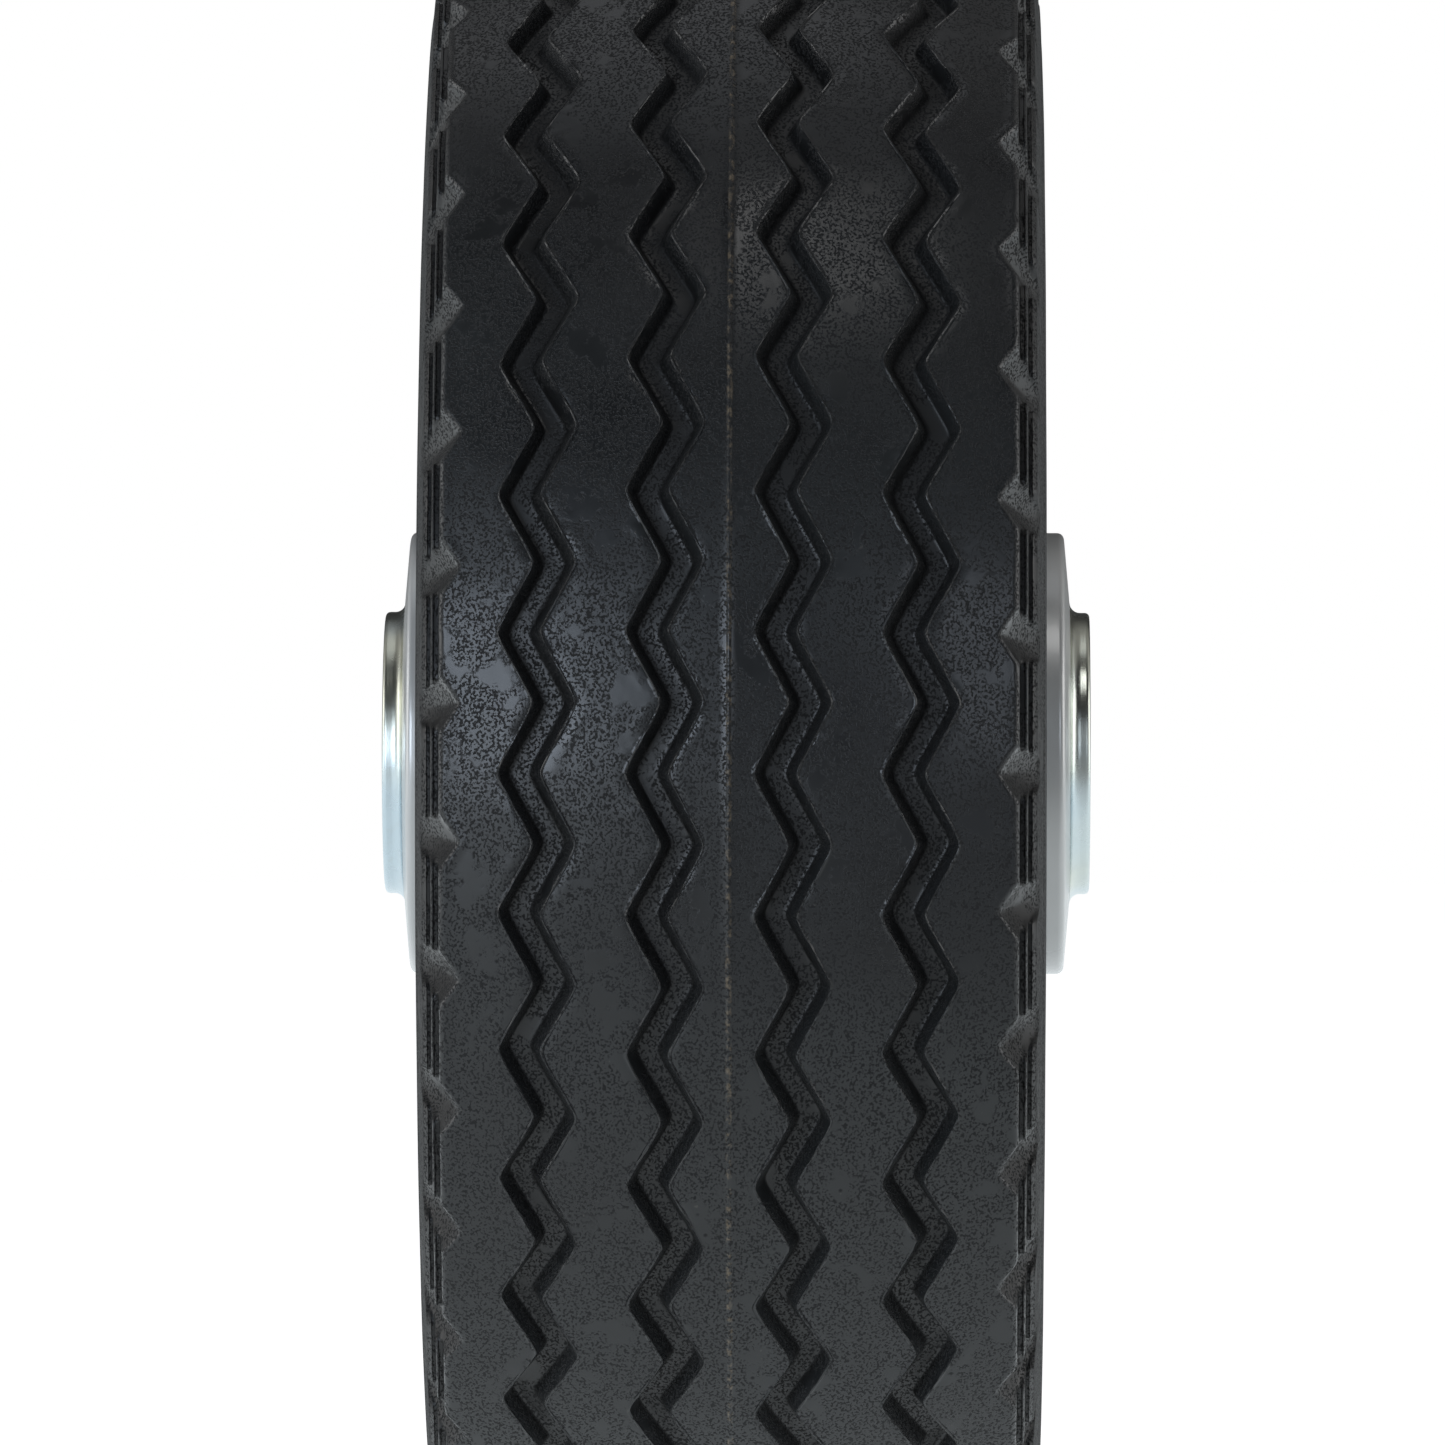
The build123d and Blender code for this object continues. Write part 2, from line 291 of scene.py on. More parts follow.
def rubber_material():
    """Moulded black rubber: a satin skin full of tiny pits, with smoother patches, pinholes and dust, and
    painted shade darkening the pits, pinholes and groove floors.
    """
    m = Nodes("tyre_rubber")
    deep, plain, faded = (0.0070, 0.0074, 0.0080), (0.0115, 0.0125, 0.0132), (0.0150, 0.0170, 0.0170)
    # The groove colour is painted shade: a near-black brown for the groove floors, where shade falls between
    # the ribs.
    # The pit colour is painted shade: near black, standing in for the shade inside the pits and pinholes.
    pit_shade, groove = (0.0012, 0.0012, 0.0014), (0.0036, 0.0032, 0.0028)
    grey_dust, brown_grit = (0.075, 0.068, 0.058), (0.13, 0.10, 0.065)

    cloud = m.noise(60, 4, 0.55)
    broad = m.noise(16, 3, 0.5)
    smooth_patch = m.remap(m.noise(150, 3, 0.6), 0.58, 0.63)
    skin = m.remap(m.noise(2700, 2, 0.5), 0.43, 0.50)
    skin = m.math("MAXIMUM", skin, smooth_patch)
    holes = m.remap(m.cells(340), 0.06, 0.14)
    holes = m.math("MAXIMUM", holes, m.remap(m.noise(300, 1), 0.56, 0.52))
    skin = m.math("MINIMUM", skin, holes)
    # The groove-floor mask drives painted shade in the colour below, and extra roughness.
    floor = in_groove(m)
    dust = m.remap(m.noise(1100, 2, 0.7), 0.70, 0.76, 0.0, 0.35)

    colour = m.mix(m.remap(cloud, 0.35, 0.68), deep, plain)
    colour = m.mix(m.remap(broad, 0.45, 0.70, 0.0, 0.5), colour, faded)
    colour = m.mix(dust, colour, grey_dust)
    # Painted shade: the pits and pinholes take the near-black pit colour.
    colour = m.mix(skin, pit_shade, colour)
    colour = m.mix(seam_specks(m), colour, brown_grit)
    # Painted shade: the groove floors, well below the crown, are darkened towards the groove colour.
    colour = m.mix(m.math("MULTIPLY", floor, 0.7), colour, groove)
    rough = m.remap(cloud, 0.3, 0.7, 0.26, 0.36)
    for extra in (
        m.remap(broad, 0.3, 0.7, -0.03, 0.04),
        m.remap(skin, 0.0, 1.0, 0.50, 0.0),
        m.math("MULTIPLY", on_sidewall(m), 0.22),
        m.math("MULTIPLY", floor, 0.12),
    ):
        rough = m.math("ADD", rough, extra)
    normal = m.bump(m.noise(120, 3, 0.5), 0.22, 0.0005)
    normal = m.bump(skin, 0.5, 0.00006, normal)
    m.set(Base_Color=colour, Roughness=rough, Normal=normal, IOR=1.5)
    return m.material


def in_groove(m):
    """1 well below the crown of the tread, else 0."""
    x, y, z = (m.axis(name) for name in "XYZ")
    radius = m.math("SQRT", m.math("ADD", m.math("MULTIPLY", x, x), m.math("MULTIPLY", z, z)))
    drop = m.math("DIVIDE", m.math("MULTIPLY", y, y), 2 * CROWN_RADIUS * MM)
    level = m.math("ADD", radius, drop)
    return m.remap(level, (TYRE_RADIUS - 2.5) * MM, (TYRE_RADIUS - 1.2) * MM, 1.0, 0.0)


def on_sidewall(m):
    """1 outside the shoulders, where the mould leaves the rubber duller, else 0."""
    return m.remap(m.math("ABSOLUTE", m.axis("Y")), 41.3 * MM, 41.7 * MM)


def seam_specks(m):
    """Brownish grit caught along the raised mould seam in the middle of the tread."""
    near_seam = m.remap(m.math("ABSOLUTE", m.axis("Y")), 0.22 * MM, 0.50 * MM, 1.0, 0.0)
    return m.math("MULTIPLY", near_seam, m.remap(m.noise(900, 3, 0.7), 0.50, 0.64, 0.0, 0.75))


def zinc_material(name, rough, tint):
    """Clear zinc plate over turned steel: fine turning lines, cool and straw-coloured patches."""
    m = Nodes(name)
    rings = m.noise(60, 2, 0.5, m.stretched(1, 260, 1))
    patch = m.noise(38, 3, 0.5, m.stretched(1, 0.4, 1))
    speck = m.noise(700, 3, 0.6)

    def tinted(*factors):
        return tuple(t * f for t, f in zip(tint, factors))

    cool, straw, dull = tinted(0.86, 0.93, 1.0), tinted(1.06, 0.99, 0.84), tinted(0.72, 0.72, 0.72)
    colour = m.mix(m.remap(patch, 0.40, 0.62), cool, straw)
    colour = m.mix(m.remap(speck, 0.5, 0.75, 0.0, 0.22), colour, dull)
    roughness = m.remap(m.noise(110, 4, 0.6), 0.3, 0.7, rough - 0.05, rough + 0.10)
    normal = m.bump(rings, 0.16, 0.00005)
    normal = m.bump(speck, 0.10, 0.00006, normal)
    m.set(Base_Color=colour, Roughness=roughness, Normal=normal, Metallic=1.0)
    return m.material


def rim_material():
    """Light grey coating on pressed steel: orange peel, faint dust and slight tone changes."""
    m = Nodes("rim_coating")
    peel = m.noise(420, 2, 0.45)
    tone = m.noise(22, 4, 0.55)
    dirt = m.remap(m.noise(75, 6, 0.65), 0.56, 0.74, 0.0, 0.30)
    colour = m.mix(m.remap(tone, 0.35, 0.65), (0.43, 0.435, 0.43), (0.53, 0.53, 0.52))
    colour = m.mix(dirt, colour, (0.27, 0.25, 0.225))
    roughness = m.remap(tone, 0.3, 0.7, 0.26, 0.36)
    normal = m.bump(peel, 0.12, 0.00012)
    m.set(Base_Color=colour, Roughness=roughness, Normal=normal, Metallic=0.35)
    m.set(Coat_Weight=0.35, Coat_Roughness=0.12)
    return m.material


def ground_steel_material():
    """Ground bearing steel with fine circumferential lines and a trace of oil."""
    m = Nodes("bearing_steel")
    lines = m.noise(80, 2, 0.5, m.stretched(1, 400, 1))
    film = m.noise(120, 3, 0.55)
    colour = m.mix(m.remap(film, 0.4, 0.65), (0.50, 0.51, 0.53), (0.60, 0.60, 0.60))
    roughness = m.remap(film, 0.3, 0.7, 0.16, 0.26)
    m.set(Base_Color=colour, Roughness=roughness, Normal=m.bump(lines, 0.10, 0.00003), Metallic=1.0)
    return m.material


def seal_material():
    """Matt black nitrile rubber bonded to a shield."""
    m = Nodes("seal_rubber")
    fine = m.noise(1300, 3, 0.6)
    patch = m.noise(140, 3, 0.5)
    colour = m.mix(m.remap(patch, 0.35, 0.65), (0.012, 0.012, 0.013), (0.024, 0.024, 0.025))
    roughness = m.remap(patch, 0.3, 0.7, 0.48, 0.62)
    m.set(Base_Color=colour, Roughness=roughness, Normal=m.bump(fine, 0.35, 0.00008))
    return m.material


# ---------------------------------------------------------------- tyre

# Distances from each apex, in millimetres of arc at the tread, at which the tyre mesh has a row.
ROW_STEPS = [0.45, 1.2, 2.2, 2.9, 3.4, 3.8, 4.2]
HALF_PITCH_MM = math.radians(HALF_PITCH_DEG) * TYRE_RADIUS
COARSE = 4  # the sidewalls and beads have only every fourth row

# The shallow crease towards the mould seam: how deep it is and how soon it fades.
SEAM_CREASE = 0.28
SEAM_REACH = 5.0
# The raised seam itself, from its middle outwards: (y, depth below the crown).
SEAM = [(0.0, -0.20), (0.13, -0.17), (0.26, -0.05), (0.42, 0.0)]
# One groove's section from its middle outwards: (distance from the middle, depth below the crown).
GROOVE_SECTION = [
    (0.0, 2.86), (0.8, 2.84), (1.25, 2.80), (1.50, 2.66), (1.68, 2.25), (2.20, 1.20), (2.62, 0.36),
    (2.73, 0.10), (2.82, -0.11), (2.93, -0.17), (3.05, -0.11), (3.16, 0.0), (3.50, 0.02),
]
BURR_FROM = 6  # the section's points from here outwards carry the lip's unevenness
# The outer rib's last column lies this far inside the tread's edge; from RIB_BEND outwards its columns
# bend towards the notches.
EDGE_ROOM = 1.3
RIB_BEND = 31.0

# The rounded tread edge: (distance outside the edge line, drop below the crown). It wobbles from
# LIP_WOBBLE_FROM outwards.
LIP_WOBBLE_FROM = -0.5
LIP = [(-1.10, 0.0), (-0.80, 0.04), (-0.48, 0.13), (-0.22, 0.28), (-0.06, 0.46), (0.0, 0.68)]
# The shoulder's ledges below it, outside the notches: (radius, y, half width of the notch there).
SHOULDER = [
    (123.3, 39.18, 3.80), (122.2, 39.22, 3.72), (121.85, 39.34, 3.68), (121.84, 39.56, 3.64),
    (121.84, 39.86, 3.60), (122.14, 39.96, 3.58), (122.14, 40.14, 3.56), (121.75, 40.26, 3.50),
    (118.8, 40.40, 3.25), (118.28, 40.50, 3.20), (118.27, 40.92, 3.12), (118.55, 40.98, 3.06),
    (117.75, 41.58, 3.00), (117.0, 41.68, 2.88), (115.0, 41.80, 2.72), (111.6, 42.10, 2.25),
]
# The V notches: half width along the tread's edge, half width that is all floor, distance at which the
# ledges are whole again, y of the V's point, its rounding, and how far the floor is hollowed.
NOTCH_HALF = 4.0
NOTCH_FLAT = 2.6
NOTCH_CLEAR = 4.25
NOTCH_TIP = 36.7
NOTCH_ROUNDING = 0.4
NOTCH_BOWL = 0.30
# The last shoulder column that the floor shapes, and the (radius, y) at which the floor runs out.
NOTCH_LAST = 14
NOTCH_END = (113.2, 41.96)
# Sidewall from the shoulder to the bead, with thin raised rings: (radius, y).
SIDEWALL = [
    (107.6, 42.50), (106.6, 42.58), (106.2, 42.72), (105.8, 42.74), (105.4, 42.66), (104.0, 42.78),
    (101.0, 42.96), (98.0, 43.05), (95.4, 43.03), (94.8, 43.05), (94.4, 43.09), (94.0, 43.00),
    (91.0, 42.80), (87.0, 42.35), (83.0, 41.72), (82.0, 41.52), (81.6, 41.62), (81.1, 41.56),
    (80.7, 41.24), (78.0, 40.66), (75.0, 39.94), (72.5, 39.30), (71.6, 39.14), (70.9, 39.20),
    (70.0, 38.92), (69.2, 38.30), (67.6, 37.70), (65.5, 36.95), (63.6, 36.20), (62.2, 35.45),
    (61.2, 34.85), (60.3, 34.45), (59.8, 34.05), (59.55, 33.4), (59.55, 32.0),
]

# The bead, from the flange's bend to the seat: (radius, y).
BEAD = [(59.52, 31.6), (59.1, 30.3), (58.2, 29.35), (56.5, 29.02), (53.5, 29.02), (51.6, 29.02), (50.9, 28.3)]

# Unevenness of the moulding as sine waves: (waves round the tyre, size).
BURR_SIDEWAYS = ((149, 0.045), (331, 0.030))
BURR_UPWARDS = ((97, 0.035), (263, 0.035))
CROWN_WAVES = ((5, 0.04), (17, 0.03))
CROWN_SINK = 0.07  # keeps the crown's highest waves inside the tyre's radius
EDGE_WAVES = ((61, 0.02), (187, 0.03))
LEDGE_WAVES = ((61, 0.015), (187, 0.02))
SIDEWALL_WAVES = ((3, 0.03), (11, 0.02))


def row_table():
    """For every row: its angle, its distance from the nearest apex and which way that apex points."""
    angles, steps, signs = [], [], []
    offsets = [-s for s in ROW_STEPS[::-1]] + [0.0] + ROW_STEPS + [HALF_PITCH_MM / 2]
    for apex in range(APEXES):
        for s in offsets:
            angles.append(math.radians(FIRST_APEX_DEG + apex * HALF_PITCH_DEG) + s / TYRE_RADIUS)
            steps.append(s)
            signs.append(-1 if apex % 2 == 0 else 1)
    return np.array(angles), np.array(steps), np.array(signs)


def soft(distance, rounding):
    """A distance whose fold at zero is rounded."""
    return np.sqrt(distance**2 + rounding**2) - rounding


def smooth(f):
    """Eases a fraction from 0 to 1."""
    return f * f * (3 - 2 * f)


ROW_ANGLE, ROW_STEP, ROW_SIGN = row_table()
ROWS = len(ROW_ANGLE)
COARSE_ANGLE = ROW_ANGLE[::COARSE]
# Sideways shift of the groove lines at every row: a triangle wave with rounded apexes.
ZIG = ROW_SIGN * SWING * (1 - soft(ROW_STEP, APEX_ROUNDING) / soft(HALF_PITCH_MM / 2, APEX_ROUNDING))
# A notch lies where the zigzag's apex points away from its side.
NOTCH_ROWS = {side: ROW_SIGN == -sign for side, sign in SIDES.items()}


def notch_pull(side):
    """How far the notch moves the tread's edge inwards at each row, in millimetres."""
    inside = NOTCH_ROWS[side] & (np.abs(ROW_STEP) < NOTCH_HALF)
    reach = math.hypot(NOTCH_HALF, NOTCH_ROUNDING) - NOTCH_ROUNDING
    return np.where(inside, (TREAD_EDGE - NOTCH_TIP) * (1 - soft(ROW_STEP, NOTCH_ROUNDING) / reach), 0.0)


PULL = {side: notch_pull(side) for side in SIDES}


def ripple(seed, angle, y, waves):
    """Smooth repeatable unevenness from a few sine waves, each (waves round the tyre, size)."""
    total = np.zeros_like(angle)
    for k, (count, size) in enumerate(waves):
        phase = 2.4 * seed + 1.7 * k
        total += size * np.sin(count * angle + phase + 0.37 * y) * np.cos(0.61 * count * angle + 2.1 * phase)
    return total


def crown(y):
    """Radius of the tread's crown at a distance from the mid-plane."""
    y = np.asarray(y)
    crease = SEAM_CREASE * (1 - np.exp(-np.abs(y) / SEAM_REACH))
    return TYRE_RADIUS - CROWN_RADIUS + np.sqrt(CROWN_RADIUS**2 - y**2) - crease


def crown_waves(y):
    """Unevenness of the crown at every row."""
    return ripple(7, ROW_ANGLE, y / 6, CROWN_WAVES) - CROWN_SINK


def polar(radius, angle, y):
    """Rows of points from radius, angle and y."""
    radius, y = np.broadcast_to(radius, angle.shape), np.broadcast_to(y, angle.shape)
    return np.stack([radius * np.cos(angle), y, radius * np.sin(angle)], axis=1)


def tread_columns():
    """Mesh columns across the tread: (y, share of the zigzag, depth, unevenness of the lip)."""
    columns = [(y, 0.0, depth, 0.0) for y, depth in SEAM]
    lip_out = GROOVE_SECTION[-1][0]

    def rib(start, end, share_start, share_end, count):
        for k in range(1, count + 1):
            f = k / (count + 1)
            share = share_start + (share_end - share_start) * smooth(f)
            columns.append((start + (end - start) * f, share, 0.0, 0.0))

    def groove(centre):
        for k in range(-len(GROOVE_SECTION) + 1, len(GROOVE_SECTION)):
            offset, depth = GROOVE_SECTION[abs(k)]
            burr = 1.0 if abs(k) >= BURR_FROM else 0.0
            columns.append((centre + math.copysign(offset, k), 1.0, depth, burr))

    rib(SEAM[-1][0], INNER_GROOVE - lip_out, 0.0, 1.0, 4)
    groove(INNER_GROOVE)
    rib(INNER_GROOVE + lip_out, OUTER_GROOVE - lip_out, 1.0, 1.0, 6)
    groove(OUTER_GROOVE)
    rib(OUTER_GROOVE + lip_out, TREAD_EDGE - EDGE_ROOM, 1.0, 0.0, 5)
    left = [(-y, share, depth, burr) for y, share, depth, burr in columns[:0:-1]]
    return left + columns


def tread_column(y, share, depth, burr, index):
    """One column of the tread: its x, y and z at every row."""
    side = "right" if y > 0 else "left"
    bend = np.clip((abs(y) - RIB_BEND) / (TREAD_EDGE - EDGE_ROOM - RIB_BEND), 0, 1) ** 1.5
    line = y + share * ZIG - SIDES[side] * bend * PULL[side]
    lateral = ripple(index, ROW_ANGLE, y, BURR_SIDEWAYS) * burr
    raised = ripple(index + 3, ROW_ANGLE, y, BURR_UPWARDS) * burr
    radius = crown(line) - depth + raised + crown_waves(y) * (depth <= 0)
    return polar(radius, ROW_ANGLE, line + lateral)


def lip_column(side, offset, drop):
    """One column of the tread's rounded edge, which follows the notches' V lines."""
    line = TREAD_EDGE - PULL[side] + offset
    wobble = ripple(5, ROW_ANGLE, 0, EDGE_WAVES) * (offset > LIP_WOBBLE_FROM)
    uneven = crown_waves(SIDES[side] * line) * (drop == 0)
    return polar(crown(line) - drop + uneven + wobble, ROW_ANGLE, SIDES[side] * (line + wobble))


def shoulder_column(side, k):
    """One column of the shoulder: ledges outside the notches, easing into each notch's smooth floor."""
    radius, y, half = SHOULDER[k]
    distance = np.abs(ROW_STEP)
    # rows slide together so that the notch narrows down the shoulder
    last = HALF_PITCH_MM / 2
    near = distance * half / NOTCH_HALF
    far = half + (distance - NOTCH_HALF) / (last - NOTCH_HALF) * (last - half)
    slid = np.where(NOTCH_ROWS[side], np.where(distance <= NOTCH_HALF, near, far), distance)
    angle = ROW_ANGLE + np.sign(ROW_STEP) * (slid - distance) / TYRE_RADIUS

    lip_y = TREAD_EDGE - PULL[side]
    lip_r = crown(lip_y) - LIP[-1][1]
    along = min((k + 1) / (NOTCH_LAST + 1), 1.0)
    bowl = NOTCH_BOWL * math.sin(math.pi * along)
    floor_y = lip_y + (NOTCH_END[1] - lip_y) * along - bowl / 2
    floor_r = lip_r + (NOTCH_END[0] - lip_r) * along - bowl
    inside = smooth(np.clip((NOTCH_CLEAR - distance) / (NOTCH_CLEAR - NOTCH_FLAT), 0, 1))
    inside = inside * NOTCH_ROWS[side] * (k <= NOTCH_LAST)
    wobble = ripple(11 + k // 4, ROW_ANGLE, 0, LEDGE_WAVES) * (1 - inside)
    out_r = radius + (floor_r - radius) * inside + wobble * 0.6
    out_y = y + (floor_y - y) * inside + wobble
    return polar(out_r, angle, SIDES[side] * out_y)


def sidewall_columns(side):
    """Coarser columns of the sidewall on one side, from the shoulder inwards."""
    out = []
    for k, (radius, y) in enumerate(SIDEWALL):
        wobble = ripple(k // 3, COARSE_ANGLE, 0, SIDEWALL_WAVES)
        out.append(polar(radius, COARSE_ANGLE, SIDES[side] * (y + wobble)))
    return out


def fine_columns():
    """The columns of the tread and shoulders, from left to right."""
    ledges = range(len(SHOULDER))
    columns = [shoulder_column("left", k) for k in ledges[::-1]]
    columns += [lip_column("left", *point) for point in LIP[::-1]]
    columns += [tread_column(*column, index) for index, column in enumerate(tread_columns())]
    columns += [lip_column("right", *point) for point in LIP]
    columns += [shoulder_column("right", k) for k in ledges]
    return columns


def ring_faces(start, columns, rows):
    """Quads between neighbouring columns of closed rings, the first point being number start."""
    faces = []
    for a in range(start, start + (columns - 1) * rows, rows):
        b = a + rows
        faces += [(a + j, b + j, b + (j + 1) % rows, a + (j + 1) % rows) for j in range(rows)]
    return faces


def make_tyre(material):
    """The whole tyre as one closed mesh: fine rows on tread and shoulders, coarse rows elsewhere."""
    fine = fine_columns()
    loop = BEAD + [(r, -y) for r, y in BEAD[::-1]]
    bead = [polar(r, COARSE_ANGLE, y) for r, y in loop]
    coarse = sidewall_columns("right") + bead + sidewall_columns("left")[::-1]
    rows = len(COARSE_ANGLE)
    start = len(fine) * ROWS
    faces = ring_faces(0, len(fine), ROWS) + ring_faces(start, len(coarse), rows)
    last_fine, last_coarse = start - ROWS, start + (len(coarse) - 1) * rows
    for j in range(rows):
        n = (j + 1) % rows
        edge = [(j * COARSE + i) % ROWS for i in range(COARSE + 1)]
        faces.append((start + j, start + n, *(last_fine + i for i in edge[::-1])))
        faces.append((last_coarse + n, last_coarse + j, *edge))
    tyre = piece("tyre_moulding", np.concatenate(fine + coarse), faces, material, "rubber", "wheel")
    sharpen(tyre, 50)
    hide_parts("tyre")


# ---------------------------------------------------------------- rim, hub and fasteners


ROUND = 256  # facets round the rim, hub and welds


def make_rim_half(side, material):
    """One pressed rim half with its boss, web, bead seat, flange and rolled lip."""
    boss_in, seat_in, flange_in = BOSS_RADIUS - STEEL, BEAD_SEAT - STEEL, FLANGE_RADIUS - STEEL
    boss_edge = BOSS_FACE - BOSS_DROP
    joint = 0.02  # each web stops this far from the mid-plane, so the halves don't share a face
    inner, outer, flange_bend, lip = 0.8, 0.8 + STEEL, 3.0, 0.9
    corners = [
        (HUB_RADIUS, BOSS_FACE, 0), (BOSS_RADIUS, boss_edge, 1.0), (BOSS_RADIUS, STEEL, inner),
        (seat_in, STEEL, inner), (seat_in, FLANGE_Y + STEEL, outer), (flange_in, FLANGE_Y + STEEL, inner),
        (flange_in, RIM_LIP_Y, lip), (FLANGE_RADIUS, RIM_LIP_Y, lip), (FLANGE_RADIUS, FLANGE_Y, flange_bend),
        (BEAD_SEAT, FLANGE_Y, inner), (BEAD_SEAT, joint, outer), (boss_in, joint, outer),
        (boss_in, boss_edge - STEEL, inner), (HUB_RADIUS, BOSS_FACE - STEEL, 0),
    ]
    outline = rounded(corners, 7)
    rim = lathe(f"rim_shell_{side}", outline, material, "rim_steel", "wheel", ROUND, SIDES[side])
    sharpen(rim, 40)
    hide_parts(f"rim_half_{side}")


def make_hub(material):
    """The hub tube with rounded collar ends."""
    collar, mouth = 0.65, 0.25
    corners = [
        (HUB_RADIUS, -HUB_END, collar), (HUB_RADIUS, HUB_END, collar), (BEARING_RADIUS, HUB_END, mouth),
        (BEARING_RADIUS, BEARING_IN, 0), (HUB_SHOULDER, BEARING_IN, 0), (HUB_SHOULDER, -BEARING_IN, 0),
        (BEARING_RADIUS, -BEARING_IN, 0), (BEARING_RADIUS, -HUB_END, mouth),
    ]
    hub = lathe("hub_sleeve", rounded(corners, 6), material, "zinc", "wheel", ROUND)
    sharpen(hub, 40)
    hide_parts("hub_tube")


def make_weld(side, material):
    """The smooth fillet between collar and boss, very slightly uneven."""
    steps, proud, sunk = 8, 0.01, 0.1
    slope = BOSS_DROP / (BOSS_RADIUS - HUB_RADIUS)
    outline = [(HUB_RADIUS - 0.05, BOSS_FACE - sunk)]
    for k in range(steps + 1):
        turn = math.pi / 2 * k / steps
        r = HUB_RADIUS + WELD_LEG * (1 - math.sin(turn))
        y = BOSS_FACE + WELD_LEG * (1 - math.cos(turn)) - slope * (r - HUB_RADIUS)
        outline.append((r, y + proud))

    def uneven(r, y, angle):
        waves = math.sin(9 * angle + 1) * math.sin(23 * angle)
        return r + 0.035 * waves * (r - HUB_RADIUS) / WELD_LEG

    weld = lathe(f"weld_ring_{side}", outline, material, "zinc", "wheel", ROUND, SIDES[side], uneven)
    sharpen(weld, 60)
    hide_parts(f"weld_fillet_{side}")


# ---------------------------------------------------------------- fasteners

HALF_FLATS = 6.5
BOLT_RADIUS = 3.9
NUT_BORE = 3.95
THREAD_PITCH = 1.25
THREAD_DEPTH = 0.62
BOLT_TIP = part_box("rim_bolts")[1][1] / MM
BOLT_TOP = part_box("rim_bolts")[0][1] / MM
NUT_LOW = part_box("rim_nuts")[0][1] / MM
NUT_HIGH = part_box("rim_nuts")[1][1] / MM
WASHER_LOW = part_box("rim_spring_washers")[0][1] / MM
# Heights above a chamfered face at which a hexagon has points, so that its curved edges are smooth.
CHAMFER_STEPS = [0.0, 0.12, 0.25, 0.4, 0.6, 0.85, 1.15]
# How far each of the four fasteners is turned on its own axis, in degrees.
BOLT_TURNS = (12, 47, -20, 3)
NUT_TURNS = (31, 8, -14, 22)
WASHER_TURNS = (70, 190, 300, 140)


def join(name, meshes, material, slot, body):
    """One piece from several (points, faces) meshes in millimetres."""
    points, faces = [], []
    for part_points, part_faces in meshes:
        start = len(points)
        points += list(part_points)
        faces += [tuple(start + i for i in face) for face in part_faces]
    obj = piece(name, points, faces, material, slot, body)
    sharpen(obj, 35)
    return obj


def hex_limit(chamfer_low, chamfer_high, low, high):
    """Trims a radius to a hexagon whose corners are cut back by a 30 degree cone at one or both ends."""
    cone_slope = math.tan(math.radians(30))
    cone_start = HALF_FLATS * 0.985

    def shape(r, y, angle):
        if r < HALF_FLATS * 0.8:
            return r
        turn = (angle + math.pi / 6) % (math.pi / 3) - math.pi / 6
        r = min(r, HALF_FLATS / math.cos(turn))
        if chamfer_low:
            r = min(r, cone_start + (y - low) / cone_slope)
        if chamfer_high:
            r = min(r, cone_start + (high - y) / cone_slope)
        return r

    return shape


def bolt_mesh():
    """A hexagon-head bolt with a rolled thread, its head on the left."""
    head_low, head_high, thread_from = BOLT_TOP, -STEEL, STEEL
    beyond = 8.0  # outside the hexagon, which trims it
    dish, washer_face, face_height, neck = 0.35, 5.9, 0.3, 3.95
    outline = [(0.01, head_low + dish), (3.9, head_low + dish), (4.3, head_low), (5.2, head_low)]
    outline += [(beyond, head_low + t) for t in CHAMFER_STEPS] + [(beyond, head_high - face_height)]
    outline += [(washer_face, head_high - face_height), (washer_face, head_high), (4.35, head_high)]
    outline += [(neck, head_high + 0.4), (neck, thread_from - 0.3)]
    samples = int((BOLT_TIP - thread_from) / THREAD_PITCH * 8)
    for i in range(samples + 1):
        outline.append((BOLT_RADIUS, thread_from + (BOLT_TIP - thread_from) * i / samples))
    outline.append((0.01, BOLT_TIP))
    trim = hex_limit(True, False, head_low, head_high)

    def shape(r, y, angle):
        if y < head_high - 0.2 and r > 5.5:
            return trim(r, y, angle)
        if y >= thread_from and r > 1:
            turn = (y / THREAD_PITCH - angle / (2 * math.pi)) % 1.0
            ridge = min(1.0, 2.6 * abs(turn - 0.5))
            fade = min(1.0, y - thread_from)
            tip = max(0.0, y - BOLT_TIP + 0.8)
            return min(r - THREAD_DEPTH * (1 - ridge) * fade, BOLT_RADIUS - tip)
        return r

    return spun(outline, 96, shape)


def nut_mesh():
    """A hexagon nut chamfered on both faces, with a countersunk bore."""
    countersink, beyond = 0.45, 1.3 * HALF_FLATS
    steps = [NUT_LOW + t for t in CHAMFER_STEPS] + [NUT_HIGH - t for t in CHAMFER_STEPS[::-1]]
    face = [NUT_BORE + countersink, 0.45 * HALF_FLATS, 0.8 * HALF_FLATS]
    outline = [(r, NUT_LOW) for r in face]
    outline += [(beyond, y) for y in steps]
    outline += [(r, NUT_HIGH) for r in face[::-1]]
    outline += [(NUT_BORE, NUT_HIGH - countersink), (NUT_BORE, NUT_LOW + countersink)]
    return spun(outline, 144, hex_limit(True, True, NUT_LOW, NUT_HIGH))


